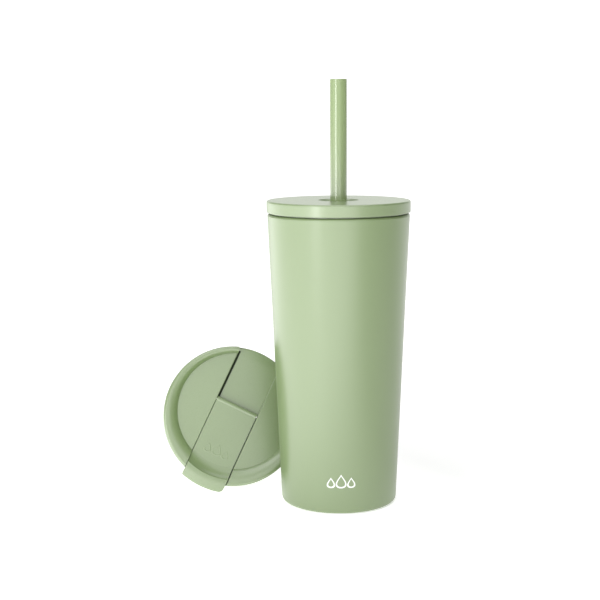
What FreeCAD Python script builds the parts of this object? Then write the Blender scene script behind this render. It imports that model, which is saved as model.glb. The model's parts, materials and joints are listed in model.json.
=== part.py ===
import FreeCAD, Part
import math
import os
import re

import Sketcher
from FreeCAD import Placement, Rotation, Vector

# Insulated travel mug with two lids, in millimetres.
# Row frame: origin at the centre of the foot on the resting plane, +Z up, +X to the
# right and +Y to the back. The straw lid sits in the mouth. The flip lid stands on
# its lip behind the mug's left side and leans against it.

DIMENSIONS = {
    # Vessel: a tapered double wall
    "base_radius": 35.1,
    "rim_radius": 42.6,
    "rim_height": 176.1,
    "wall": 0.8,
    "foot_corner": 2.4,
    "foot_hole": 30.4,
    "lip_round": 1.3,
    "weld_radius": 40.65,
    "liner_wall": 0.7,
    "liner_mouth": 38.7,
    "liner_foot": 31.5,
    "liner_floor": 8.5,
    "liner_corner": 7.0,
    # Closing plate, seal, getter and base
    "plate_radius": 32.3,
    "plate_thick": 0.8,
    "dimple_radius": 5.6,
    "dimple_slope": 0.4,
    "dimple_rise": 0.6,
    "pump_hole": 1.2,
    "seal_radius": 3.2,
    "seal_drop": 0.5,
    "seal_fit": 0.1,
    "getter_offset": 14.0,
    "getter_radius": 5.5,
    "getter_height": 3.2,
    "getter_wall": 0.4,
    "pellet_radius": 4.8,
    "pellet_height": 2.0,
    "base_cover_radius": 30.1,
    "pad_radius": 31.6,
    "pad_thick": 0.5,
    "pad_edge": 0.15,
    # Both lids: local Z is 0 on the underside that sits over the rim
    "seat_height": 177.0,
    "plug_bore": 35.4,
    "plug_radius": 37.2,
    "plug_depth": 16.0,
    "plug_nose": 0.6,
    "flange_radius": 40.6,
    "flange_thick": 0.7,
    "groove_floor": 36.4,
    "groove_top": 5.4,
    "groove_height": 4.0,
    "gasket_fit": 0.1,
    "gasket_body": 37.5,
    "gasket_lip": 38.2,
    "gasket_rib": 0.6,
    # Straw lid
    "lid_radius": 43.07,
    "lid_height": 7.0,
    "lid_edge": 1.0,
    "lid_foot_edge": 0.3,
    "lid_pocket_radius": 35.0,
    "lid_plate": 2.2,
    "recess_radius": 12.4,
    "recess_depth": 1.4,
    "recess_sweep": 3.0,
    "recess_curve": 4.2,
    "recess_boss": 15.0,
    "grommet_seat": 6.4,
    "grommet_bore": 5.05,
    "grommet_fit": 0.05,
    "grommet_flange": 7.4,
    "grommet_thick": 0.7,
    # Straw
    "straw_radius": 5.0,
    "straw_bore": 4.2,
    "straw_length": 241.8,
    "straw_bottom": 13.5,
    "straw_edge": 0.3,
    "bead_height": 139.0,
    "bead_radius": 6.2,
    "bead_half": 1.5,
    # Flip lid
    "flip_radius": 44.2,
    "flip_height": 8.4,
    "flip_foot_edge": 0.6,
    "crest_round": 1.9,
    "spigot_radius": 35.0,
    "spigot_depth": 1.2,
    "dish_radius": 36.75,
    "dish_shift": 3.48,
    "dish_depth": 4.03,
    "channel_half": 14.3,
    "channel_floor": 1.0,
    "channel_end_floor": 3.0,
    "channel_end_start": 38.0,
    "channel_reach": 46.0,
    "channel_flare": 5.8,
    "channel_end_round": 1.3,
    "channel_edge": 0.35,
    "saddle_foot": 37.1,
    "saddle_start": 41.5,
    "saddle_height": 5.0,
    "cut_height": 10.0,
    "slot_width": 1.45,
    "slot_floor": -0.5,
    "slot_end": 39.6,
    "slot_end_floor": 0.9,
    "spout_centre": 28.5,
    "spout_long": 16.0,
    "spout_short": 7.0,
    "vent_centre": 12.0,
    "vent_radius": 1.6,
    # Flip tab and its hinge
    "hinge_setback": 5.75,
    "hinge_height": 2.9,
    "pin_radius": 0.75,
    "pin_half": 17.3,
    "pin_seat": 0.77,
    "pin_seat_half": 17.5,
    "tab_bore": 0.8,
    "barrel_radius": 1.8,
    "barrel_room": 2.05,
    "tab_left": 14.0,
    "tab_right": 13.6,
    "tab_under": 1.45,
    "tab_ramp_foot": 36.5,
    "tab_ramp_top": 40.9,
    "tab_saddle_under": 5.4,
    "tab_hook_start": 44.9,
    "tab_hook_inner": 45.4,
    "tab_hook_under": 3.7,
    "tab_slope_start": 32.4,
    "tab_slope_curve": 12.0,
    "tab_crest_radius": 40.4,
    "tab_crest_height": 9.2,
    "lip_radius": 48.66,
    "lip_edge": 1.25,
    "lip_edge_height": 5.3,
    "lip_shoulder": 47.59,
    "lip_shoulder_height": 7.2,
    "lip_shoulder_round": 2.2,
    "lip_curve": 14.0,
    "lip_left_round": 1.0,
    "lip_left_centre": "=sqrt((lip_radius - lip_left_round)^2 - (tab_left - lip_left_round)^2)",
    "lip_left_x": "=lip_left_centre*lip_radius/(lip_radius - lip_left_round)",
    "lip_left_y": "=(tab_left - lip_left_round)*lip_radius/(lip_radius - lip_left_round)",
    "lip_right_round": 3.0,
    "lip_right_centre": "=sqrt((lip_radius - lip_right_round)^2 - (tab_right - lip_right_round)^2)",
    "lip_right_x": "=lip_right_centre*lip_radius/(lip_radius - lip_right_round)",
    "lip_right_y": "=(tab_right - lip_right_round)*lip_radius/(lip_radius - lip_right_round)",
    "stem_fit": 0.05,
    # Stoppers under the tab
    "stopper_long": 15.2,
    "stopper_short": 6.2,
    "stopper_round": 2.6,
    "stopper_end": 0.9,
    "stem_radius": 1.4,
    "stem_height": 1.6,
    "vent_stopper_top": 1.3,
    "vent_stopper_tip": 0.9,
    "vent_stopper_length": 1.2,
    "vent_stem_radius": 0.9,
}

# Where the flip lid stands: the centre of its crest plane, and its three turns
FLIP_CENTRE = Vector(-65.7, 23.75, 46.51)
FLIP_TURN = 10.15
FLIP_LEAN = 16.22
FLIP_SPIN = -117.85

# Two points closer than this are one point
TINY = 0.001

# The dish is lofted through this many circles; its wall starts this steep at the floor
DISH_CIRCLES = 5
DISH_START_ANGLE = 20

doc = FreeCAD.newDocument("travel_mug")
sheet = doc.addObject("Spreadsheet::Sheet", "dims")
for row, (alias, size) in enumerate(DIMENSIONS.items(), 1):
    sheet.set(f"A{row}", alias.replace("_", " "))
    sheet.set(f"B{row}", str(size))
    sheet.setAlias(f"B{row}", alias)
doc.recompute()


# ---------------------------------------------------------------- sheet and sketch helpers

def value(text):
    """Number that a sum of sheet names and plain numbers comes to."""
    total = 0.0
    sign = 1.0
    for token in text.split():
        if token in ("+", "-"):
            sign = 1.0 if token == "+" else -1.0
            continue
        product = 1.0
        for factor in token.split("*"):
            product *= float(sheet.get(factor)) if factor[0].isalpha() else float(factor)
        total += sign * product
        sign = 1.0
    return total


def bound(text):
    """The same sum as an expression on the sheet."""
    return re.sub(r"[a-z]\w*", lambda found: "dims." + found.group(), text)


def new_body(label):
    body = doc.addObject("PartDesign::Body", label)
    body.Label = label
    return body


def new_sketch(body, name, role, offset=None):
    """Empty sketch on one of the body's own planes, moved along its normal by a sheet sum."""
    sketch = body.newObject("Sketcher::SketchObject", name)
    plane = [item for item in body.Origin.OriginFeatures if item.Role == role][0]
    sketch.AttachmentSupport = (plane, [""])
    sketch.MapMode = "FlatFace"
    if offset is not None:
        sketch.AttachmentOffset = Placement(Vector(0, 0, value(offset)), Rotation())
        sketch.setExpression("AttachmentOffset.Base.z", bound(offset))
    return sketch


def bind(sketch, kind, places, text):
    index = sketch.addConstraint(Sketcher.Constraint(kind, *places, value(text)))
    sketch.setExpression(f"Constraints[{index}]", bound(text))


def fix_point(sketch, geometry, position, point):
    bind(sketch, "DistanceX", (-1, 1, geometry, position), point[0])
    bind(sketch, "DistanceY", (-1, 1, geometry, position), point[1])


def arc_between(start, end, radius, leftward):
    """Short arc of a given radius; leftward arcs turn anticlockwise from start to end."""
    chord = end - start
    middle = start + chord * 0.5
    rise = math.sqrt(max(radius ** 2 - (chord.Length / 2) ** 2, 0.0))
    side = Vector(-chord.y, chord.x, 0).normalize()
    centre = middle + side * (rise if leftward else -rise)
    first, last = (start, end) if leftward else (end, start)
    begin = math.atan2(first.y - centre.y, first.x - centre.x)
    finish = math.atan2(last.y - centre.y, last.x - centre.x)
    return Part.ArcOfCircle(Part.Circle(centre, Vector(0, 0, 1), radius), begin, finish)


def outline(sketch, steps):
    """Closed outline. A step is (x, y), or (x, y, radius, side) for an arc that ends there."""
    points = [Vector(value(step[0]), value(step[1]), 0) for step in steps]
    ends = []
    for number, step in enumerate(steps):
        start = points[number - 1]
        end = points[number]
        if len(step) == 2:
            index = sketch.addGeometry(Part.LineSegment(start, end), False)
            ends.append((index, 1, 2))
        else:
            leftward = step[3] == "left"
            arc = arc_between(start, end, value(step[2]), leftward)
            index = sketch.addGeometry(arc, False)
            ends.append((index, 1, 2) if leftward else (index, 2, 1))
            bind(sketch, "Radius", (index,), step[2])
    for number, (index, first, last) in enumerate(ends):
        before = ends[number - 1]
        sketch.addConstraint(Sketcher.Constraint("Coincident", before[0], before[2], index, first))
        fix_point(sketch, index, last, steps[number])


def circle(sketch, point, radius):
    centre = Vector(value(point[0]), value(point[1]), 0)
    index = sketch.addGeometry(Part.Circle(centre, Vector(0, 0, 1), value(radius)), False)
    bind(sketch, "Radius", (index,), radius)
    fix_point(sketch, index, 3, point)


def rectangle(left, right, low, high):
    return [(right, low), (right, high), (left, high), (left, low)]


def rounded(centre, half_x, half_y, corner):
    """Outline of a rounded rectangle about a point on the X axis."""
    right = f"{centre} + {half_x}"
    left = f"{centre} - {half_x}"
    return [
        (f"{right} - {corner}", f"0 - {half_y}"),
        (right, f"0 - {half_y} + {corner}", corner, "left"),
        (right, f"{half_y} - {corner}"),
        (f"{right} - {corner}", half_y, corner, "left"),
        (f"{left} + {corner}", half_y),
        (left, f"{half_y} - {corner}", corner, "left"),
        (left, f"0 - {half_y} + {corner}"),
        (f"{left} + {corner}", f"0 - {half_y}", corner, "left"),
    ]


# ---------------------------------------------------------------- feature helpers

def turned(body, name, steps):
    """Solid of revolution about the body's Z axis from an outline of radius and height."""
    sketch = new_sketch(body, name + "_outline", "XZ_Plane")
    outline(sketch, steps)
    feature = body.newObject("PartDesign::Revolution", name)
    feature.Profile = sketch
    feature.ReferenceAxis = (sketch, ["V_Axis"])
    feature.Angle = 360.0
    doc.recompute()
    return feature


def extruded(body, kind, name, sketch, length, symmetric=False, reverse=False):
    """Pad or Pocket of a sketch, checked to change the volume."""
    before = body.Shape.Volume if body.Tip else 0.0
    feature = body.newObject("PartDesign::" + kind, name)
    feature.Profile = sketch
    feature.Type = "Length"
    feature.setExpression("Length", bound(length))
    if symmetric:
        feature.SideType = "Symmetric"
    feature.Reversed = reverse
    doc.recompute()
    change = body.Shape.Volume - before
    if (change > 0) != (kind == "Pad"):
        raise RuntimeError(f"{body.Label}.{name} changed the volume by {change:.3f}")
    return feature


def eased(body, name, radius, test):
    """Fillet on the edges of the body's last feature whose points all pass a test."""
    base = body.Tip
    names = []
    for number, edge in enumerate(base.Shape.Edges, 1):
        if all(test(point) for point in edge.discretize(5)):
            names.append(f"Edge{number}")
    if not names:
        raise RuntimeError(f"{body.Label}.{name} found no edge")
    feature = body.newObject("PartDesign::Fillet", name)
    feature.Base = (base, names)
    feature.setExpression("Radius", bound(radius))
    doc.recompute()


def at_height(body, text):
    body.setExpression("Placement.Base.z", bound(text))


# ---------------------------------------------------------------- vessel

def outer_shell():
    body = new_body("outer_shell")
    turned(body, "wall", [
        ("foot_hole", "pad_thick"),
        ("base_radius - foot_corner", "pad_thick"),
        ("base_radius", "pad_thick + foot_corner", "foot_corner", "left"),
        ("rim_radius", "rim_height - lip_round"),
        ("rim_radius - lip_round", "rim_height", "lip_round", "left"),
        ("weld_radius", "rim_height"),
        ("weld_radius", "rim_height - wall"),
        ("rim_radius - lip_round", "rim_height - wall"),
        ("rim_radius - wall", "rim_height - lip_round", "lip_round - wall", "right"),
        ("base_radius - wall", "pad_thick + foot_corner"),
        ("base_radius - foot_corner", "pad_thick + wall", "foot_corner - wall", "right"),
        ("foot_hole", "pad_thick + wall"),
    ])


def inner_liner():
    body = new_body("inner_liner")
    foot_centre = "liner_foot - liner_corner"
    corner_top = "liner_floor + liner_corner"
    turned(body, "cup", [
        ("0", "liner_floor - liner_wall"),
        (foot_centre, "liner_floor - liner_wall"),
        ("liner_foot + liner_wall", corner_top, "liner_corner + liner_wall", "left"),
        ("liner_mouth + liner_wall", "rim_height - lip_round"),
        ("liner_mouth + lip_round", "rim_height - liner_wall", "lip_round - liner_wall", "right"),
        ("weld_radius", "rim_height - liner_wall"),
        ("weld_radius", "rim_height"),
        ("liner_mouth + lip_round", "rim_height"),
        ("liner_mouth", "rim_height - lip_round", "lip_round", "left"),
        ("liner_foot", corner_top),
        (foot_centre, "liner_floor", "liner_corner", "right"),
        ("0", "liner_floor"),
    ])


def shell_bottom():
    body = new_body("shell_bottom")
    under = "pad_thick + wall"
    turned(body, "plate", [
        ("pump_hole", f"{under} + dimple_rise"),
        ("dimple_radius - dimple_slope", f"{under} + dimple_rise"),
        ("dimple_radius + dimple_slope", under),
        ("plate_radius", under),
        ("plate_radius", f"{under} + plate_thick"),
        ("dimple_radius + 2*dimple_slope", f"{under} + plate_thick"),
        ("dimple_radius", f"{under} + plate_thick + dimple_rise"),
        ("pump_hole", f"{under} + plate_thick + dimple_rise"),
    ])


def evacuation_seal():
    body = new_body("evacuation_seal")
    dimple = "pad_thick + wall + dimple_rise"
    turned(body, "bead", [
        ("0", f"{dimple} - seal_drop"),
        ("seal_radius - seal_drop", f"{dimple} - seal_drop"),
        ("seal_radius", dimple, "seal_drop", "left"),
        ("pump_hole - seal_fit", dimple),
        ("pump_hole - seal_fit", f"{dimple} + plate_thick - seal_fit"),
        ("0", f"{dimple} + plate_thick - seal_fit"),
    ])


def getter():
    cup = new_body("getter_cup")
    turned(cup, "pan", [
        ("0", "0"),
        ("getter_radius", "0"),
        ("getter_radius", "getter_height"),
        ("getter_radius - getter_wall", "getter_height"),
        ("getter_radius - getter_wall", "getter_wall"),
        ("0", "getter_wall"),
    ])
    pellet = doc.addObject("Part::Cylinder", "getter_pellet")
    pellet.Label = "getter_pellet"
    pellet.setExpression("Radius", "dims.pellet_radius")
    pellet.setExpression("Height", "dims.pellet_height")
    under_liner = "liner_floor - liner_wall - getter_height"
    at_height(cup, under_liner)
    at_height(pellet, f"{under_liner} + getter_wall")
    for piece in (cup, pellet):
        piece.setExpression("Placement.Base.x", "dims.getter_offset")


def base_cover():
    disc = doc.addObject("Part::Cylinder", "base_cover")
    disc.Label = "base_cover"
    disc.setExpression("Radius", "dims.base_cover_radius")
    disc.setExpression("Height", "dims.wall")
    at_height(disc, "pad_thick")


def base_pad():
    body = new_body("base_pad")
    turned(body, "disc", [
        ("0", "0"),
        ("pad_radius - pad_edge", "0"),
        ("pad_radius", "pad_edge"),
        ("pad_radius", "pad_thick"),
        ("0", "pad_thick"),
    ])


# ---------------------------------------------------------------- plug and gasket of a lid

def lid_plug(label):
    body = new_body(label)
    turned(body, "ring", [
        ("plug_bore", "0 - plug_depth"),
        ("plug_radius - plug_nose", "0 - plug_depth"),
        ("plug_radius", "plug_nose - plug_depth", "plug_nose", "left"),
        ("plug_radius", "0 - groove_top - groove_height"),
        ("groove_floor", "0 - groove_top - groove_height"),
        ("groove_floor", "0 - groove_top"),
        ("plug_radius", "0 - groove_top"),
        ("plug_radius", "0 - flange_thick"),
        ("flange_radius", "0 - flange_thick"),
        ("flange_radius", "0"),
        ("plug_bore", "0"),
    ])
    return body


def lid_gasket(label):
    body = new_body(label)
    inside = "groove_floor + gasket_fit"
    low = "gasket_fit - groove_top - groove_height"
    high = "0 - groove_top - gasket_fit"
    turned(body, "seal", [
        (inside, low),
        ("gasket_body", low),
        ("gasket_lip", f"{low} + gasket_rib"),
        ("gasket_body", f"{low} + 2*gasket_rib"),
        ("gasket_body", f"{high} - 2*gasket_rib"),
        ("gasket_lip", f"{high} - gasket_rib"),
        ("gasket_body", high),
        (inside, high),
    ])
    return body


# ---------------------------------------------------------------- straw lid and straw

def straw_lid():
    cover = new_body("straw_lid_cover")
    recess_floor = "lid_height - recess_depth"
    turned(cover, "cap", [
        ("grommet_seat", f"{recess_floor} - lid_plate"),
        ("recess_boss", f"{recess_floor} - lid_plate"),
        ("recess_boss", "lid_height - lid_plate"),
        ("lid_pocket_radius", "lid_height - lid_plate"),
        ("lid_pocket_radius", "0"),
        ("lid_radius - lid_foot_edge", "0"),
        ("lid_radius", "lid_foot_edge", "lid_foot_edge", "left"),
        ("lid_radius", "lid_height - lid_edge"),
        ("lid_radius - lid_edge", "lid_height", "lid_edge", "left"),
        ("recess_radius", "lid_height"),
        ("recess_radius - recess_sweep", recess_floor, "recess_curve", "right"),
        ("grommet_seat", recess_floor),
    ])
    grommet = new_body("straw_grommet")
    plate_low = f"{recess_floor} - lid_plate - grommet_fit"
    plate_high = f"{recess_floor} + grommet_fit"
    turned(grommet, "ring", [
        ("grommet_bore", f"{plate_low} - grommet_thick"),
        ("grommet_flange", f"{plate_low} - grommet_thick"),
        ("grommet_flange", plate_low),
        ("grommet_seat - grommet_fit", plate_low),
        ("grommet_seat - grommet_fit", plate_high),
        ("grommet_flange", plate_high),
        ("grommet_flange - grommet_thick", f"{plate_high} + grommet_thick", "grommet_thick", "left"),
        ("grommet_bore", f"{plate_high} + grommet_thick"),
    ])
    for piece in (cover, grommet, lid_plug("straw_lid_plug"), lid_gasket("straw_lid_gasket")):
        at_height(piece, "seat_height")


def drinking_straw():
    body = new_body("drinking_straw")
    turned(body, "tube", [
        ("straw_bore", "0"),
        ("straw_radius", "0"),
        ("straw_radius", "bead_height - bead_half"),
        ("bead_radius", "bead_height"),
        ("straw_radius", "bead_height + bead_half"),
        ("straw_radius", "straw_length - straw_edge"),
        ("straw_radius - straw_edge", "straw_length", "straw_edge", "left"),
        ("straw_bore", "straw_length"),
    ])
    at_height(body, "straw_bottom")


# ---------------------------------------------------------------- flip lid

def dish_cut(body):
    """Hollow of the dished face: the rim rounds over into it, steepest at the floor."""
    first_angle = math.radians(DISH_START_ANGLE)
    sections = []
    for number in range(DISH_CIRCLES):
        angle = first_angle + (math.pi / 2 - first_angle) * number / (DISH_CIRCLES - 1)
        rise = (math.sin(angle) - math.sin(first_angle)) / (1 - math.sin(first_angle))
        spread = math.cos(angle) / math.cos(first_angle)
        sketch = new_sketch(body, f"dish_{number}", "XY_Plane",
                            f"flip_height - dish_depth + {rise:.6f}*dish_depth")
        crest = "flip_radius - crest_round"
        circle(sketch, (f"0 - {spread:.6f}*dish_shift", "0"),
               f"{crest} - {spread:.6f}*flip_radius + {spread:.6f}*crest_round"
               f" + {spread:.6f}*dish_radius")
        sections.append(sketch)
    feature = body.newObject("PartDesign::SubtractiveLoft", "dish")
    feature.Profile = sections[0]
    feature.Sections = sections[1:]
    feature.Ruled = False
    doc.recompute()


def flip_lid_cover():
    body = new_body("flip_lid_cover")
    turned(body, "blank", [
        ("0", "0 - spigot_depth"),
        ("spigot_radius", "0 - spigot_depth"),
        ("spigot_radius", "0"),
        ("flip_radius - flip_foot_edge", "0"),
        ("flip_radius", "flip_foot_edge", "flip_foot_edge", "left"),
        ("flip_radius", "flip_height - crest_round"),
        ("flip_radius - crest_round", "flip_height", "crest_round", "left"),
        ("0", "flip_height"),
    ])
    dish_cut(body)

    channel = new_sketch(body, "channel_outline", "XZ_Plane")
    outline(channel, [
        ("0 - channel_reach", "channel_end_floor"),
        ("0 - channel_end_start", "channel_end_floor"),
        ("0 - hinge_setback", "channel_floor"),
        ("saddle_foot", "channel_floor"),
        ("saddle_start", "saddle_height"),
        ("channel_reach", "saddle_height"),
        ("channel_reach", "cut_height"),
        ("0 - channel_reach", "cut_height"),
    ])
    extruded(body, "Pocket", "channel", channel, "2*channel_half", symmetric=True)

    room = new_sketch(body, "barrel_room_outline", "XZ_Plane")
    circle(room, ("0 - hinge_setback", "hinge_height"), "barrel_room")
    extruded(body, "Pocket", "barrel_room", room, "2*channel_half", symmetric=True)

    flare = new_sketch(body, "flare_outline", "XY_Plane", "channel_end_floor")
    flare_x = "0 - channel_end_start - channel_flare"
    outline(flare, [
        ("0 - channel_end_start", "channel_half"),
        (flare_x, "channel_half + channel_flare", "channel_flare", "right"),
        (flare_x, "0 - channel_half - channel_flare"),
        ("0 - channel_end_start", "0 - channel_half", "channel_flare", "right"),
    ])
    extruded(body, "Pocket", "flare", flare, "cut_height", reverse=True)
    end_floor = value("channel_end_floor")
    eased(body, "channel_end", "channel_end_round", lambda point:
          abs(point.z - end_floor) < TINY and point.x < 0
          and abs(math.hypot(point.x, point.y) - value("flip_radius")) < TINY)
    dish_floor = value("flip_height - dish_depth")
    eased(body, "channel_edges", "channel_edge", lambda point:
          abs(point.z - dish_floor) < TINY and abs(abs(point.y) - value("channel_half")) < TINY)

    slot = new_sketch(body, "slot_outline", "XZ_Plane", "channel_half")
    outline(slot, [
        ("0 - slot_end", "slot_end_floor"),
        ("0 - hinge_setback", "slot_floor"),
        ("0 - hinge_setback", "flip_height"),
        ("0 - slot_end", "flip_height"),
    ])
    extruded(body, "Pocket", "slot", slot, "slot_width")

    seats = new_sketch(body, "pin_seat_outline", "XZ_Plane")
    circle(seats, ("0 - hinge_setback", "hinge_height"), "pin_seat")
    extruded(body, "Pocket", "pin_seats", seats, "2*pin_seat_half", symmetric=True)

    holes = new_sketch(body, "opening_outline", "XY_Plane", "0 - 2*spigot_depth")
    outline(holes, rounded("spout_centre", "0.5*spout_short", "0.5*spout_long", "stopper_round"))
    circle(holes, ("vent_centre", "0"), "vent_radius")
    extruded(body, "Pocket", "openings", holes, "cut_height", reverse=True)
    return body


def hinge_pin():
    body = new_body("hinge_pin")
    sketch = new_sketch(body, "pin_outline", "XZ_Plane")
    circle(sketch, ("0 - hinge_setback", "hinge_height"), "pin_radius")
    extruded(body, "Pad", "pin", sketch, "2*pin_half", symmetric=True)
    return body


def flip_tab():
    body = new_body("flip_tab")
    dish_floor = "flip_height - dish_depth"
    turned(body, "blank", [
        ("0", "tab_under"),
        ("tab_ramp_foot", "tab_under"),
        ("tab_ramp_top", "tab_saddle_under"),
        ("tab_hook_start", "tab_saddle_under"),
        ("tab_hook_inner", "tab_hook_under"),
        ("lip_radius - lip_edge", "tab_hook_under"),
        ("lip_radius", "tab_hook_under + lip_edge", "lip_edge", "left"),
        ("lip_radius", "lip_edge_height"),
        ("lip_shoulder", "lip_shoulder_height", "lip_shoulder_round", "left"),
        ("tab_crest_radius", "tab_crest_height", "lip_curve", "left"),
        ("tab_slope_start", dish_floor, "tab_slope_curve", "right"),
        ("0", dish_floor),
    ])
    trim = new_sketch(body, "trim_outline", "XY_Plane", "cut_height")
    outline(trim, rectangle("0 - 2*channel_reach", "2*channel_reach",
                            "0 - 2*channel_reach", "2*channel_reach"))
    outline(trim, [
        ("0 - hinge_setback", "0 - tab_left"),
        ("lip_left_centre", "0 - tab_left"),
        ("lip_left_x", "0 - lip_left_y", "lip_left_round", "left"),
        ("1.5*channel_reach", "0 - lip_left_y"),
        ("1.5*channel_reach", "lip_right_y"),
        ("lip_right_x", "lip_right_y"),
        ("lip_right_centre", "tab_right", "lip_right_round", "left"),
        ("0 - hinge_setback", "tab_right"),
    ])
    extruded(body, "Pocket", "trim", trim, "2*cut_height")

    barrel = new_sketch(body, "barrel_outline", "XZ_Plane", "0 - tab_right")
    circle(barrel, ("0 - hinge_setback", "hinge_height"), "barrel_radius")
    extruded(body, "Pad", "barrel", barrel, "tab_left + tab_right")

    bore = new_sketch(body, "bore_outline", "XZ_Plane")
    circle(bore, ("0 - hinge_setback", "hinge_height"), "tab_bore")
    extruded(body, "Pocket", "bore", bore, "2*channel_reach", symmetric=True)

    stems = new_sketch(body, "stem_outline", "XY_Plane", "tab_under")
    circle(stems, ("spout_centre", "0"), "stem_radius + stem_fit")
    circle(stems, ("vent_centre", "0"), "vent_stem_radius + stem_fit")
    extruded(body, "Pocket", "stem_holes", stems, "stem_height + stem_fit", reverse=True)
    return body


def spout_stopper():
    body = new_body("spout_stopper")
    block = new_sketch(body, "block_outline", "XY_Plane", "0 - stopper_end")
    outline(block, rounded("spout_centre", "0.5*stopper_short", "0.5*stopper_long", "stopper_round"))
    extruded(body, "Pad", "block", block, "tab_under + stopper_end")
    stem = new_sketch(body, "stem_outline", "XY_Plane", "tab_under")
    circle(stem, ("spout_centre", "0"), "stem_radius")
    extruded(body, "Pad", "stem", stem, "stem_height")
    return body


def vent_stopper():
    body = new_body("vent_stopper")
    turned(body, "cone", [
        ("0", "0 - vent_stopper_length"),
        ("vent_stopper_tip", "0 - vent_stopper_length"),
        ("vent_stopper_top", "0"),
        ("vent_stem_radius", "0"),
        ("vent_stem_radius", "stem_height"),
        ("0", "stem_height"),
    ])
    return body


def flip_lid():
    turn = Rotation(Vector(0, 0, 1), FLIP_TURN)
    lean = Rotation(Vector(1, 0, 0), 90 - FLIP_LEAN)
    spin = Rotation(Vector(0, 0, 1), FLIP_SPIN)
    facing = turn.multiply(lean).multiply(spin)
    seat = FLIP_CENTRE - facing.multVec(Vector(0, 0, value("flip_height")))
    stand = Placement(seat, facing)
    pieces = [
        flip_lid_cover(), lid_plug("flip_lid_plug"), lid_gasket("flip_lid_gasket"),
        hinge_pin(), flip_tab(), spout_stopper(),
    ]
    for piece in pieces:
        piece.Placement = stand
    vent = vent_stopper()
    vent_place = Vector(value("vent_centre"), 0, value("tab_under"))
    vent.Placement = stand.multiply(Placement(vent_place, Rotation()))


# ---------------------------------------------------------------- build, check and write

outer_shell()
inner_liner()
shell_bottom()
evacuation_seal()
getter()
base_cover()
base_pad()
straw_lid()
drinking_straw()
flip_lid()
doc.recompute()

PIECE_TYPES = ("PartDesign::Body", "Part::Cylinder")
pieces = [item for item in doc.Objects if item.TypeId in PIECE_TYPES]
for item in doc.Objects:
    if "Invalid" in item.State or "Error" in item.State:
        raise RuntimeError(f"{item.Label} failed: {item.State}")
    if item.TypeId == "Sketcher::SketchObject" and not item.FullyConstrained:
        raise RuntimeError(f"{item.Label} is not fully constrained")
for piece in pieces:
    if piece.Shape.isNull() or not piece.Shape.isValid() or piece.Shape.Volume <= 0:
        raise RuntimeError(f"{piece.Label} has no valid solid")

os.makedirs("parts", exist_ok=True)
for piece in pieces:
    piece.Shape.exportStep(f"parts/{piece.Label}.step")
    print(f"{piece.Label}: {len(piece.Shape.Solids)} solid, {piece.Shape.Volume:.1f} mm3")
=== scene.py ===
import json
import math

import bpy
import numpy as np
from mathutils import Matrix, Vector


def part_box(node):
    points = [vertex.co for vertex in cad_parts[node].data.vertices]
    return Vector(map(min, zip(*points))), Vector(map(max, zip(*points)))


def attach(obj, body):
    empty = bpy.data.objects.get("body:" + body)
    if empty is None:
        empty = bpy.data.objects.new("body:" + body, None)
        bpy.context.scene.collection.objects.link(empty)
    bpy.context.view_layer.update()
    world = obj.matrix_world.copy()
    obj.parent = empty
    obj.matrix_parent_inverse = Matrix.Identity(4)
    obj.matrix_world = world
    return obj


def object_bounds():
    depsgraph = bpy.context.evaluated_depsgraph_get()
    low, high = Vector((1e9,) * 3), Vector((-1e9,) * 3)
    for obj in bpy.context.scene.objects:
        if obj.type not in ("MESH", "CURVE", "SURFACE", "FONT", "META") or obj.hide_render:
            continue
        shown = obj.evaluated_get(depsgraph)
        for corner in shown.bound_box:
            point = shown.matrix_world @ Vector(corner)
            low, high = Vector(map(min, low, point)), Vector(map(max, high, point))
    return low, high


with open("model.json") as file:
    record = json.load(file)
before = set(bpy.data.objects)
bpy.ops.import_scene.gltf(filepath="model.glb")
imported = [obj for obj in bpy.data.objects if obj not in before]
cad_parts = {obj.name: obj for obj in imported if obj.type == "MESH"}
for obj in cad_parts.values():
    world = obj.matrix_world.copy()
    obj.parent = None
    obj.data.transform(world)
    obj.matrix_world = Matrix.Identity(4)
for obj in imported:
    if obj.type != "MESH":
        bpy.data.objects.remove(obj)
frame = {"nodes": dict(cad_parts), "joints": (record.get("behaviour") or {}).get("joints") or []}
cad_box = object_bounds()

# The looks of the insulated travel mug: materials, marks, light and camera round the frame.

MM = 0.001

# Base colours, linear. One green runs through every visible piece, a little different per material.
COAT_GREEN = (0.156, 0.222, 0.087)
PLASTIC_GREEN = (0.182, 0.252, 0.110)
STRAW_GREEN = (0.235, 0.315, 0.135)
SILICONE_GREEN = (0.245, 0.320, 0.170)
# Painted shade: a near-black green laid into the groove beside the flip lid's channel, standing in
# for its shadow.
PAINTED_SHADE_GREEN = (0.030, 0.045, 0.020)
PAD_GREEN = (0.150, 0.190, 0.115)
STEEL_GREY = (0.62, 0.61, 0.59)
PRINT_GREY = (0.80, 0.82, 0.79)
CLEAR_MILK = (0.70, 0.73, 0.66)
GLASS_GREY = (0.24, 0.27, 0.25)
GETTER_GREY = (0.12, 0.12, 0.125)

# Roughness of each finish, at the low and the high end of its noise. Most noise is in NOISE_SPAN.
NOISE_SPAN = (0.3, 0.7)
COAT_ROUGH = (0.29, 0.35)
PLASTIC_ROUGH = (0.27, 0.33)
STRAW_ROUGH = (0.15, 0.19)
SILICONE_ROUGH = (0.52, 0.66)
BRUSHED_ROUGH = (0.22, 0.34)
PRESSED_ROUGH = (0.30, 0.45)
STEEL_CLOUDS = (-0.03, 0.03)
GLASS_ROUGH = (0.06, 0.16)
GETTER_ROUGH = (0.6, 0.9)
PRINT_ROUGH = (0.34, 0.46)

COAT_IOR = 1.6
PLASTIC_IOR = 1.7
SILICONE_IOR = 1.42

# The coat's grain, which the print on it shows too, and its paler specks.
COAT_GRAIN = 2600.0
SPECK_SPAN = (0.35, 0.75)
SPECK_SHARE = 0.35
SPECK_GAIN = 1.12

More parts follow.
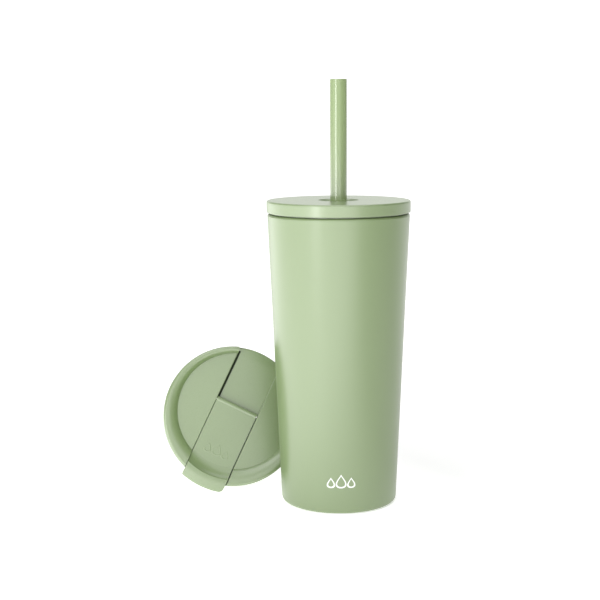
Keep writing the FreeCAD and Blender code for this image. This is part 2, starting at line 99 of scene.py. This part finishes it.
# The bare steel edge at the mouth: its width, how far down it goes, and the coat's soft end.
BARE_WIDTH = 1.45 * MM
BARE_DEPTH = 3.0 * MM
BARE_BLUR = 0.1 * MM

# Brushing: fine across the lines and long round the axis.
BRUSH_FINE = 9000.0
BRUSH_ROUND = 1.5

# The box of painted shade in the groove beside the flip lid's channel, from the hinge along the
# lid's axes, in millimetres. The last value is the specular level left in that painted shade.
GROOVE_ALONG_TAB = (-40.0, 0.5)
GROOVE_ALONG_HINGE = (-14.4, -12.8)
GROOVE_OUT = (-4.0, -0.1)
PAINTED_GROOVE_SHINE = 0.1

# The generic mark: (shift, rise, height, width) of each drop, in millimetres.
VESSEL_DROPS = ((-6.0, -0.9, 6.6, 4.6), (0.0, 0.0, 8.6, 6.0), (6.0, -0.9, 6.6, 4.6))
TAB_DROPS = ((-6.0, -0.9, 6.0, 4.4), (0.0, 0.0, 7.6, 5.6), (6.0, -0.9, 6.0, 4.4))
DROP_BAND = 0.8 * MM
DROP_POINTS = 72
BAND_SHARES = (0.0, 0.25, 0.5, 0.75, 1.0)

# Where the marks are: the vessel's from its axis and foot, the tab's from the hinge.
VESSEL_MARK_SHIFT = 0.5 * MM
VESSEL_MARK_FRONT = -60.0 * MM
VESSEL_MARK_RISE = 20.4 * MM
TAB_MARK_ALONG = 29.5
TAB_MARK_OUT = 30.0
MARK_START = 0.02
PRINT_LIFT = 0.02 * MM
PRINT_RELIEF = 0.03 * MM
TAB_RELIEF = 0.14 * MM

# The camera stands in front, a little left of the mug, and looks slightly down.
CAMERA_PLACE = Vector((-0.01806, -0.7671, 0.2375))
CAMERA_DOWN = math.radians(8.44)
CAMERA_LEFT = math.radians(0.395)
CAMERA_ROLL = math.radians(-0.32)
CAMERA_LENS = 76.96
SENSOR_WIDTH = 36.0

FLOOR_SIZE = 8.0
FLOOR_WHITE = (0.93, 0.93, 0.93, 1.0)
FLOOR_ROUGH = 0.9
FLOOR_BELOW = 0.02 * MM

# The floor glows, so that it meets the white background: bright front left, where its glow also
# lights the foot of the mug, and far behind.
FLOOR_GLOW_LEFT = 1.90
FLOOR_GLOW_RIGHT = 0.12
FLOOR_GLOW_FAR = 0.60
GLOW_ACROSS = 0.85
GLOW_AHEAD = 0.5
GLOW_NEAR_SPAN = (-0.24, 0.09)
GLOW_FAR_SPAN = (0.15, 0.7)

# Softboxes: (name, degrees to the right, degrees up, width, height, power).
SOFTBOXES = (("overhead", 0.0, 85.0, 2.0, 2.0, 17.0),
             ("strip", -36.0, 0.0, 0.26, 1.3, 5.6),
             ("left_fill", -60.0, -2.0, 1.0, 1.1, 1.2),
             ("front_fill", 9.0, 25.0, 1.6, 0.9, 5.2))
LIGHT_TARGET = Vector((-0.01, 0.0, 0.11))
LIGHT_DISTANCE = 1.5

# The room's light from left to right, and the wall behind, as spans of the view direction.
ROOM_LEFT = 0.64
ROOM_RIGHT = 0.28
ROOM_SPAN = (-0.3, 0.8)
WALL_LIGHT = 1.24
WALL_SPAN = (0.78, 0.9)


# ---------------------------------------------------------------- node helpers

def new_tree(name):
    """A new material, its node tree and its Principled shader."""
    made = bpy.data.materials.new(name)
    made.use_nodes = True
    tree = made.node_tree
    shader = tree.nodes["Principled BSDF"]
    return made, tree, shader


def fill(tree, socket, given):
    """Links a socket to another socket, or sets its value."""
    if isinstance(given, bpy.types.NodeSocket):
        tree.links.new(given, socket)
    else:
        socket.default_value = given


def node(tree, kind, settings=None, **inputs):
    """Adds a shader node. A socket given as an input is linked, anything else is its value."""
    made = tree.nodes.new("ShaderNode" + kind)
    for key, setting in (settings or {}).items():
        setattr(made, key, setting)
    for key, given in inputs.items():
        fill(tree, made.inputs[key.replace("_", " ").title()], given)
    return made


def math_node(tree, operation, first, second=0.0):
    """The result of a sum, product or comparison of two values."""
    made = tree.nodes.new("ShaderNodeMath")
    made.operation = operation
    for socket, given in zip(made.inputs, (first, second)):
        fill(tree, socket, given)
    return made.outputs[0]


def spread(tree, value, low, high, out_low, out_high):
    """Maps low..high of a value to out_low..out_high, clamped."""
    made = node(tree, "MapRange", Value=value, From_Min=low, From_Max=high,
                To_Min=out_low, To_Max=out_high)
    return made.outputs["Result"]


def mix_color(tree, share, first, second):
    """first where share is 0 and second where it is 1."""
    made = tree.nodes.new("ShaderNodeMix")
    made.data_type = "RGBA"
    tree.links.new(share, made.inputs[0])
    for socket, given in ((made.inputs[6], first), (made.inputs[7], second)):
        fill(tree, socket, (*given, 1.0) if isinstance(given, tuple) else given)
    return made.outputs[2]


def place(tree):
    """The point on the piece, in metres in the row frame, which moves with the piece."""
    return tree.nodes.new("ShaderNodeTexCoord").outputs["Object"]


def stretched(tree, vector, scale):
    """A vector with each axis scaled."""
    made = node(tree, "VectorMath", {"operation": "MULTIPLY"})
    tree.links.new(vector, made.inputs[0])
    made.inputs[1].default_value = scale
    return made.outputs[0]


def noise(tree, vector, scale, detail=2.0, roughness=0.5):
    """Noise in space, with its scale in cells per metre."""
    made = node(tree, "TexNoise", Vector=vector, Scale=scale, Detail=detail, Roughness=roughness)
    return made.outputs[0]


def bumped(tree, height, distance, strength=1.0, under=None):
    """The normal of a fine relief, on top of the one under it."""
    made = node(tree, "Bump", Height=height, Distance=distance, Strength=strength)
    if under is not None:
        tree.links.new(under, made.inputs["Normal"])
    return made.outputs["Normal"]


def polar(tree, axis_place=(0.0, 0.0)):
    """(radius, angle, height) about an upright axis, as three sockets."""
    split = node(tree, "SeparateXYZ", Vector=place(tree))
    x = math_node(tree, "SUBTRACT", split.outputs["X"], axis_place[0])
    y = math_node(tree, "SUBTRACT", split.outputs["Y"], axis_place[1])
    radius_squared = math_node(tree, "ADD", math_node(tree, "MULTIPLY", x, x),
                               math_node(tree, "MULTIPLY", y, y))
    radius = math_node(tree, "SQRT", radius_squared)
    angle = math_node(tree, "ARCTAN2", y, x)
    return radius, angle, split.outputs["Z"]


def tinted(color, gain):
    """A colour made lighter or darker."""
    return tuple(channel * gain for channel in color)


def set_constants(shader, **constants):
    """Sets plain values on a shader, each named as its socket is."""
    for key, given in constants.items():
        shader.inputs[key.replace("_", " ")].default_value = given


# ------------------------------------------------------------------- materials

def powder_coat():
    """Satin powder coat: orange peel, fine grain, pale specks and a bare steel edge at the mouth."""
    made, tree, shader = new_tree("powder_coat")
    here = place(tree)
    drift = noise(tree, here, 18.0, 3.0)
    grain = noise(tree, here, COAT_GRAIN, 2.0, 0.6)
    even = mix_color(tree, drift, tinted(COAT_GREEN, 0.985), tinted(COAT_GREEN, 1.015))
    specks = spread(tree, grain, *SPECK_SPAN, 0.0, SPECK_SHARE)
    speckled = mix_color(tree, specks, even, tinted(COAT_GREEN, SPECK_GAIN))
    radius, _, height = polar(tree)
    lip_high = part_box("outer_shell")[1]
    coat_end = lip_high.x - BARE_WIDTH
    on_lip = math_node(tree, "GREATER_THAN", height, lip_high.z - BARE_DEPTH)
    inside = spread(tree, radius, coat_end - BARE_BLUR, coat_end + BARE_BLUR, 1.0, 0.0)
    bare = math_node(tree, "MULTIPLY", on_lip, inside)
    tree.links.new(mix_color(tree, bare, speckled, STEEL_GREY), shader.inputs["Base Color"])
    tree.links.new(bare, shader.inputs["Metallic"])
    rough = spread(tree, grain, *NOISE_SPAN, *COAT_ROUGH)
    tree.links.new(rough, shader.inputs["Roughness"])
    peel = bumped(tree, noise(tree, here, 900.0, 2.0), 0.020 * MM, 0.5)
    tree.links.new(bumped(tree, grain, 0.008 * MM, 0.6, peel), shader.inputs["Normal"])
    set_constants(shader, IOR=COAT_IOR, Specular_IOR_Level=1.0)
    return made


def satin_plastic(name):
    """Moulded plastic with a fine spark-eroded texture and faint flow marks."""
    made, tree, shader = new_tree(name)
    here = place(tree)
    flow = noise(tree, here, 30.0, 4.0, 0.55)
    grain = noise(tree, here, 3600.0, 2.0, 0.55)
    base = mix_color(tree, flow, tinted(PLASTIC_GREEN, 0.98), tinted(PLASTIC_GREEN, 1.02))
    tree.links.new(base, shader.inputs["Base Color"])
    tree.links.new(spread(tree, grain, *NOISE_SPAN, *PLASTIC_ROUGH), shader.inputs["Roughness"])
    tree.links.new(bumped(tree, grain, 0.006 * MM, 0.6), shader.inputs["Normal"])
    set_constants(shader, IOR=PLASTIC_IOR, Specular_IOR_Level=1.0)
    return made


def shadow_gap(finish):
    """Paints shade into the groove beside the flip lid's channel, which is deeper on the real lid: a
    near-black green and little reflection stand in for its shadow.
    """
    hinge_place, along_tab, along_hinge, out = flip_axes()
    tree = finish.node_tree
    shader = tree.nodes["Principled BSDF"]
    inside = None
    for axis, (low, high) in ((along_tab, GROOVE_ALONG_TAB), (along_hinge, GROOVE_ALONG_HINGE),
                              (out, GROOVE_OUT)):
        dot = node(tree, "VectorMath", {"operation": "DOT_PRODUCT"})
        tree.links.new(place(tree), dot.inputs[0])
        dot.inputs[1].default_value = axis
        shift = hinge_place.dot(axis)
        above = math_node(tree, "GREATER_THAN", dot.outputs["Value"], shift + low * MM)
        below = math_node(tree, "LESS_THAN", dot.outputs["Value"], shift + high * MM)
        both = math_node(tree, "MULTIPLY", above, below)
        inside = both if inside is None else math_node(tree, "MULTIPLY", inside, both)
    # Painted shade: inside the groove box the colour turns near-black green and the reflection
    # drops.
    color = shader.inputs["Base Color"]
    tree.links.new(mix_color(tree, inside, color.links[0].from_socket, PAINTED_SHADE_GREEN), color)
    level = spread(tree, inside, 0.0, 1.0, 1.0, PAINTED_GROOVE_SHINE)
    tree.links.new(level, shader.inputs["Specular IOR Level"])


def straw_plastic():
    """Semi-gloss tube with faint lines along it from extrusion."""
    made, tree, shader = new_tree("straw_plastic")
    lines = noise(tree, stretched(tree, place(tree), (1.0, 1.0, 0.012)), 900.0, 2.0)
    base = mix_color(tree, lines, tinted(STRAW_GREEN, 0.985), tinted(STRAW_GREEN, 1.015))
    tree.links.new(base, shader.inputs["Base Color"])
    tree.links.new(spread(tree, lines, *NOISE_SPAN, *STRAW_ROUGH), shader.inputs["Roughness"])
    tree.links.new(bumped(tree, lines, 0.0015 * MM, 0.3), shader.inputs["Normal"])
    set_constants(shader, IOR=PLASTIC_IOR, Specular_IOR_Level=1.0)
    return made


def silicone(name, color, haze):
    """Matte silicone: a soft surface with a dusty bloom and light that sinks in a little."""
    made, tree, shader = new_tree(name)
    here = place(tree)
    bloom = noise(tree, here, 160.0, 4.0, 0.6)
    skin = noise(tree, here, 2200.0, 2.0)
    base = mix_color(tree, bloom, tinted(color, 0.95), tinted(color, 1.05))
    tree.links.new(base, shader.inputs["Base Color"])
    tree.links.new(spread(tree, bloom, *NOISE_SPAN, *SILICONE_ROUGH), shader.inputs["Roughness"])
    tree.links.new(bumped(tree, skin, 0.010 * MM, 0.5), shader.inputs["Normal"])
    set_constants(shader, IOR=SILICONE_IOR, Subsurface_Weight=haze, Subsurface_Scale=1.5 * MM)
    return made


def brushed_steel(name, rough):
    """Stainless steel with brushing that runs round the axis."""
    made, tree, shader = new_tree(name)
    radius, angle, height = polar(tree)
    across = node(tree, "CombineXYZ", X=math_node(tree, "MULTIPLY", radius, BRUSH_FINE),
                  Y=math_node(tree, "MULTIPLY", angle, BRUSH_ROUND),
                  Z=math_node(tree, "MULTIPLY", height, BRUSH_FINE)).outputs[0]
    lines = noise(tree, across, 1.0, 3.0, 0.6)
    cloud = noise(tree, place(tree), 60.0, 3.0)
    base = mix_color(tree, lines, tinted(STEEL_GREY, 0.9), tinted(STEEL_GREY, 1.08))
    tree.links.new(base, shader.inputs["Base Color"])
    blurred = math_node(tree, "ADD", spread(tree, lines, *NOISE_SPAN, *rough),
                        spread(tree, cloud, *NOISE_SPAN, *STEEL_CLOUDS))
    tree.links.new(blurred, shader.inputs["Roughness"])
    tree.links.new(bumped(tree, lines, 0.010 * MM, 0.5), shader.inputs["Normal"])
    set_constants(shader, Metallic=1.0)
    return made


def seal_glass():
    """Fused glass of the bead over the pump-out hole, smooth with faint swirls."""
    made, tree, shader = new_tree("seal_glass")
    swirl = noise(tree, place(tree), 900.0, 3.0)
    base = mix_color(tree, swirl, tinted(GLASS_GREY, 0.8), tinted(GLASS_GREY, 1.2))
    tree.links.new(base, shader.inputs["Base Color"])
    tree.links.new(spread(tree, swirl, *NOISE_SPAN, *GLASS_ROUGH), shader.inputs["Roughness"])
    return made


def getter_powder():
    """Pressed, coarse and dark getter powder."""
    made, tree, shader = new_tree("getter_powder")
    grit = noise(tree, place(tree), 5200.0, 3.0, 0.7)
    base = mix_color(tree, grit, tinted(GETTER_GREY, 0.6), tinted(GETTER_GREY, 1.5))
    tree.links.new(base, shader.inputs["Base Color"])
    tree.links.new(spread(tree, grit, *NOISE_SPAN, *GETTER_ROUGH), shader.inputs["Roughness"])
    tree.links.new(bumped(tree, grit, 0.05 * MM), shader.inputs["Normal"])
    return made


def print_ink():
    """The pale screen print of the mark, slightly uneven where the coat's grain shows through."""
    made, tree, shader = new_tree("print_ink")
    grain = noise(tree, place(tree), COAT_GRAIN, 2.0, 0.6)
    base = mix_color(tree, grain, tinted(PRINT_GREY, 0.93), tinted(PRINT_GREY, 1.05))
    tree.links.new(base, shader.inputs["Base Color"])
    tree.links.new(spread(tree, grain, *NOISE_SPAN, *PRINT_ROUGH), shader.inputs["Roughness"])
    return made


def dress(finish, *names):
    """Gives CAD nodes a material."""
    for name in names:
        piece = frame["nodes"][name]
        piece.data.materials.clear()
        piece.data.materials.append(finish)


# ----------------------------------------------------------------------- marks

def drop_band(height, width, band):
    """A teardrop ring: rows of (x, y, share across the band), from the outer edge inwards."""
    belly = 0.77
    point = 1.6
    rows = []
    for share in BAND_SHARES:
        shrink_x = 1.0 - share * 2.0 * band / width
        shrink_y = 1.0 - share * 2.4 * band / height
        row = []
        for step in range(DROP_POINTS):
            turn = 2.0 * math.pi * step / DROP_POINTS
            x = belly * width * math.sin(turn) * math.sin(turn / 2.0) ** point
            y = 0.5 * height * math.cos(turn)
            row.append((x * shrink_x, y * shrink_y - 0.1 * band * share, share))
        rows.append(row)
    return rows


def drop_row(drops):
    """The bands of a row of drops, each with its place in the row."""
    return [((shift * MM, rise * MM), drop_band(tall * MM, wide * MM, DROP_BAND))
            for shift, rise, tall, wide in drops]


def laid_mark(name, bands, surface, centre, right, up, toward, lift, relief):
    """Lays flat bands on a CAD node: each point is dropped on it along toward, then raised."""
    node_object = frame["nodes"][surface]
    points = []
    faces = []
    for (shift_x, shift_y), rows in bands:
        first = len(points)
        around = len(rows[0])
        for row in rows:
            for x, y, share in row:
                start = centre + right * (x + shift_x) + up * (y + shift_y) - toward * MARK_START
                found, hit, _, _ = node_object.ray_cast(start, toward)
                if not found:
                    raise ValueError(f"{name} runs off {surface}")
                raised = lift + relief * math.sin(math.pi * share) ** 0.5
                points.append(hit - toward * raised)
        for ring in range(len(rows) - 1):
            for step in range(around):
                after = (step + 1) % around
                low = first + ring * around
                high = low + around
                faces.append((low + step, low + after, high + after, high + step))
    mesh = bpy.data.meshes.new(name)
    mesh.from_pydata(points, [], faces)
    mesh.validate()
    mesh.shade_smooth()
    piece = bpy.data.objects.new(name, mesh)
    bpy.context.scene.collection.objects.link(piece)
    return piece


def flip_axes():
    """The flip lid's own axes: along the tab, along the hinge, and out of its face."""
    hinge = next(joint for joint in frame["joints"] if joint["name"] == "flip_tab_hinge")
    along_hinge = -Vector(hinge["axis"]).normalized()
    ring = np.array([vertex.co for vertex in frame["nodes"]["flip_lid_gasket"].data.vertices])
    middle = (ring.max(0) + ring.min(0)) / 2.0
    _, directions = np.linalg.eigh(np.cov((ring - middle).T))
    out = Vector(directions[:, 0])
    if out.y > 0.0:
        out.negate()
    along_tab = along_hinge.cross(out).normalized()
    return Vector(hinge["pos_m"]), along_tab, along_hinge, out


def vessel_mark():
    """Three small drops in a row, printed near the foot."""
    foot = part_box("outer_shell")[0].z
    centre = Vector((VESSEL_MARK_SHIFT, VESSEL_MARK_FRONT, foot + VESSEL_MARK_RISE))
    piece = laid_mark("vessel_mark", drop_row(VESSEL_DROPS), "outer_shell", centre,
                      Vector((1, 0, 0)), Vector((0, 0, 1)), Vector((0, 1, 0)),
                      PRINT_LIFT, PRINT_RELIEF)
    piece.data.materials.append(print_ink())
    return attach(piece, "vessel")


def tab_mark(finish):
    """The same drops, raised a hair on the tab."""
    hinge_place, along_tab, along_hinge, out = flip_axes()
    centre = hinge_place + along_tab * TAB_MARK_ALONG * MM + out * TAB_MARK_OUT * MM
    piece = laid_mark("tab_mark", drop_row(TAB_DROPS), "flip_tab", centre, along_hinge,
                      -along_tab, -out, 0.0, TAB_RELIEF)
    piece.data.materials.append(finish)
    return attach(piece, "tab")


# ------------------------------------------------------------ stage and camera

def soft_light(name, at, toward, width, height, power):
    """A softbox that lights the object but is not seen."""
    lamp = bpy.data.lights.new(name, "AREA")
    lamp.shape = "RECTANGLE"
    lamp.size = width
    lamp.size_y = height
    lamp.energy = power
    made = bpy.data.objects.new(name, lamp)
    made.location = at
    made.rotation_mode = "QUATERNION"
    made.rotation_quaternion = (Vector(toward) - Vector(at)).to_track_quat("-Z", "Y")
    made.visible_camera = False
    bpy.context.scene.collection.objects.link(made)
    return made


def lights():
    """The softboxes round the mug, all at one distance and aimed at its middle."""
    for name, right, up, width, height, power in SOFTBOXES:
        turn = math.radians(right)
        rise = math.radians(up)
        direction = Vector((math.sin(turn) * math.cos(rise), -math.cos(turn) * math.cos(rise),
                            math.sin(rise)))
        soft_light(name, LIGHT_TARGET + direction * LIGHT_DISTANCE, LIGHT_TARGET,
                   width, height, power)


def white_room():
    """A white room, dimmer on the right, with a brighter wall behind the mug."""
    world = bpy.data.worlds.new("white_room")
    world.use_nodes = True
    tree = world.node_tree
    direction = tree.nodes.new("ShaderNodeTexCoord").outputs["Generated"]
    split = node(tree, "SeparateXYZ", Vector=direction)
    room = spread(tree, split.outputs["X"], *ROOM_SPAN, ROOM_LEFT, ROOM_RIGHT)
    behind = spread(tree, split.outputs["Y"], *WALL_SPAN, 0.0, 1.0)
    gain = math_node(tree, "MULTIPLY", behind, math_node(tree, "SUBTRACT", WALL_LIGHT, room))
    strength = math_node(tree, "ADD", room, gain)
    background = tree.nodes["Background"]
    background.inputs["Color"].default_value = (1.0, 1.0, 1.0, 1.0)
    tree.links.new(strength, background.inputs["Strength"])
    bpy.context.scene.world = world


def floor():
    """A white floor just under the mug, with the glow described at its constants."""
    half = FLOOR_SIZE / 2.0
    mesh = bpy.data.meshes.new("floor")
    mesh.from_pydata([(-half, -half, 0), (half, -half, 0), (half, half, 0), (-half, half, 0)],
                     [], [(0, 1, 2, 3)])
    made = bpy.data.objects.new("floor", mesh)
    finish, tree, shader = new_tree("floor_paint")
    shader.inputs["Base Color"].default_value = FLOOR_WHITE
    set_constants(shader, Roughness=FLOOR_ROUGH, Specular_IOR_Level=0.0, Emission_Color=FLOOR_WHITE)
    split = node(tree, "SeparateXYZ", Vector=place(tree))
    across = math_node(tree, "MULTIPLY", split.outputs["X"], GLOW_ACROSS)
    ahead = math_node(tree, "MULTIPLY", split.outputs["Y"], GLOW_AHEAD)
    near = spread(tree, math_node(tree, "ADD", across, ahead), *GLOW_NEAR_SPAN,
                  FLOOR_GLOW_LEFT, FLOOR_GLOW_RIGHT)
    far = spread(tree, split.outputs["Y"], *GLOW_FAR_SPAN, 0.0, FLOOR_GLOW_FAR)
    tree.links.new(math_node(tree, "ADD", near, far), shader.inputs["Emission Strength"])
    mesh.materials.append(finish)
    made.location.z = cad_box[0].z - FLOOR_BELOW
    bpy.context.scene.collection.objects.link(made)


def camera():
    """The camera, turned left, tipped down and rolled a little."""
    lens = bpy.data.cameras.new("camera")
    lens.lens = CAMERA_LENS
    lens.sensor_width = SENSOR_WIDTH
    made = bpy.data.objects.new("camera", lens)
    turn = (Matrix.Rotation(CAMERA_LEFT, 4, "Z")
            @ Matrix.Rotation(math.pi / 2.0 - CAMERA_DOWN, 4, "X")
            @ Matrix.Rotation(CAMERA_ROLL, 4, "Z"))
    made.matrix_world = Matrix.Translation(CAMERA_PLACE) @ turn
    bpy.context.scene.collection.objects.link(made)
    bpy.context.scene.camera = made


# ---------------------------------------------------------------------- object

coat = powder_coat()
plastic = satin_plastic("sage_plastic")
steel = brushed_steel("brushed_steel", BRUSHED_ROUGH)
pressed_steel = brushed_steel("pressed_steel", PRESSED_ROUGH)
clear_silicone = silicone("clear_silicone", CLEAR_MILK, 0.5)
sage_silicone = silicone("sage_silicone", SILICONE_GREEN, 0.2)
pad_silicone = silicone("pad_silicone", PAD_GREEN, 0.0)

dress(coat, "outer_shell")
dress(steel, "inner_liner", "hinge_pin")
dress(pressed_steel, "shell_bottom", "base_cover", "getter_cup")
dress(seal_glass(), "evacuation_seal")
dress(getter_powder(), "getter_pellet")
dress(pad_silicone, "base_pad")
dress(plastic, "straw_lid_cover", "straw_lid_plug", "flip_lid_plug", "flip_tab")
# The flip lid's cover gets a copy of the plastic with painted shade in the groove beside its
# channel.
plastic_with_painted_groove_shade = satin_plastic("plastic_with_painted_groove_shade")
shadow_gap(plastic_with_painted_groove_shade)
dress(plastic_with_painted_groove_shade, "flip_lid_cover")
dress(clear_silicone, "straw_lid_gasket", "flip_lid_gasket")
dress(sage_silicone, "straw_grommet", "spout_stopper", "vent_stopper")
dress(straw_plastic(), "drinking_straw")

vessel_mark()
tab_mark(plastic)
floor()
lights()
white_room()
camera()
bpy.context.scene.view_settings.view_transform = "Standard"
